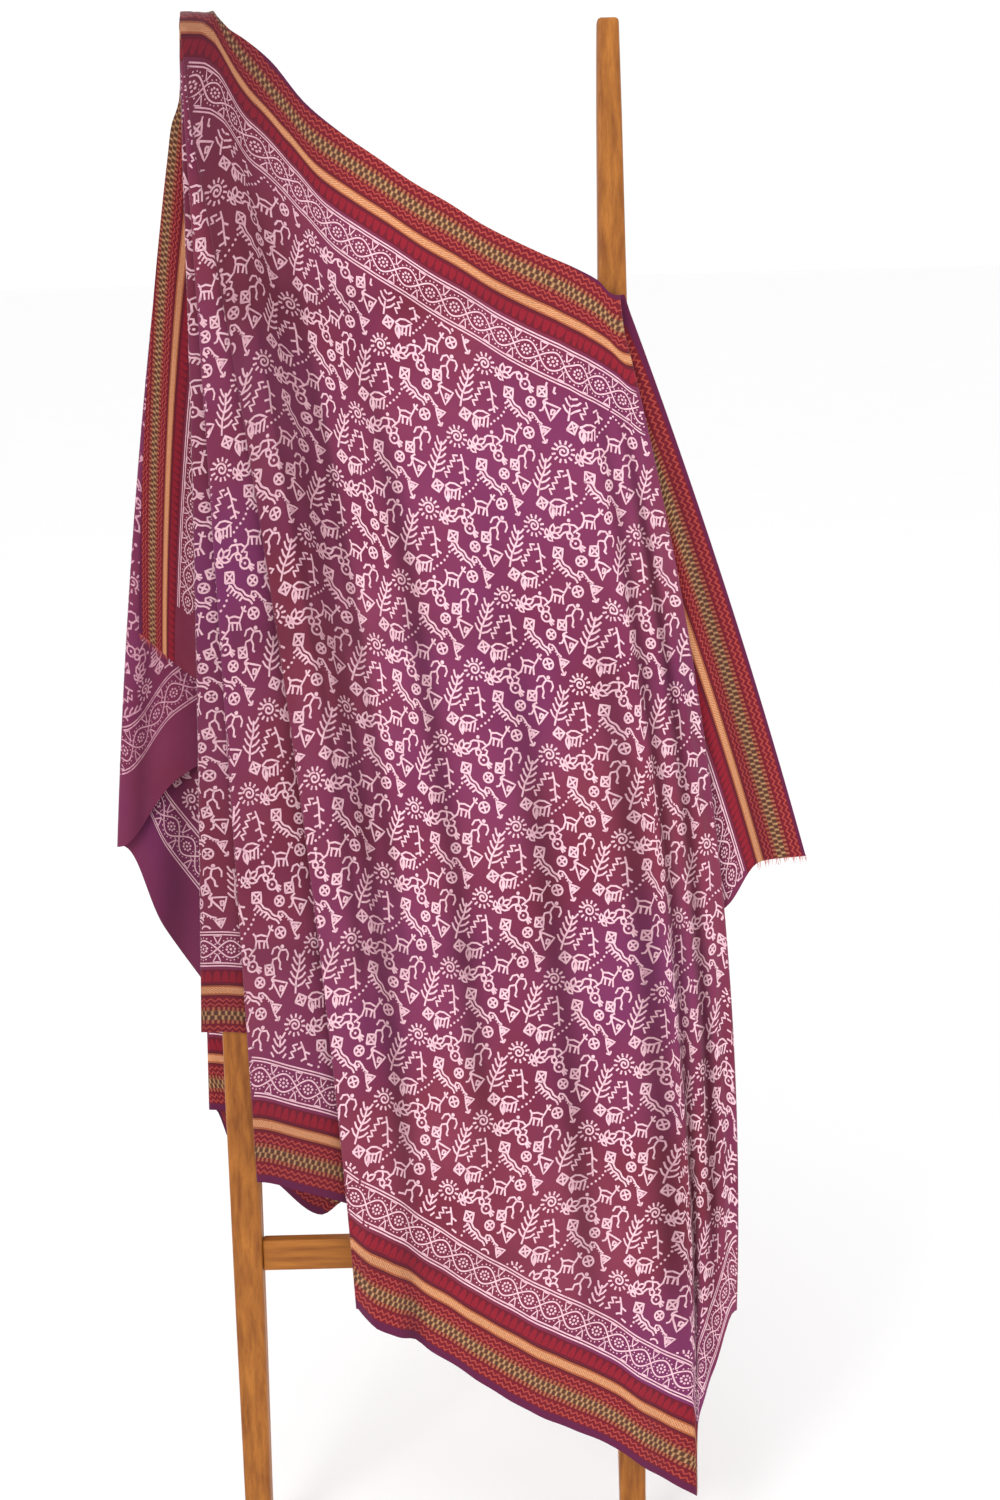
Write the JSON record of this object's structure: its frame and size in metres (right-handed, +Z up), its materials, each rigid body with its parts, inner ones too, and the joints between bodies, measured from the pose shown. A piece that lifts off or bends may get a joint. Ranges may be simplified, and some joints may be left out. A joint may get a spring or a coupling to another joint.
{
  "type": "block printed sarong on a leaning wooden ladder",
  "caption": "A long cotton sarong with woven borders and block printed motifs, gathered over one pole top of a plain leaning wooden ladder.",
  "frame": {"origin": "centre of the wall rest, the small upright face on the back of the right pole's top, where the ladder leans on a wall", "axes": "+Z up, +Y into the wall that the ladder leans on, +X to the right as seen from the front, so the front with the cloth faces -Y"},
  "size_m": [0.7962, 0.3062, 1.7203],
  "materials": {
    "printed_cotton": "matte printed cotton",
    "wood": "satin"
  },
  "bodies": {
    "root": {"cloth": "printed_cotton", "pole_left": "wood", "pole_right": "wood", "rung_1": "wood", "rung_2": "wood", "rung_3": "wood", "rung_4": "wood"}
  },
  "joints": []
}
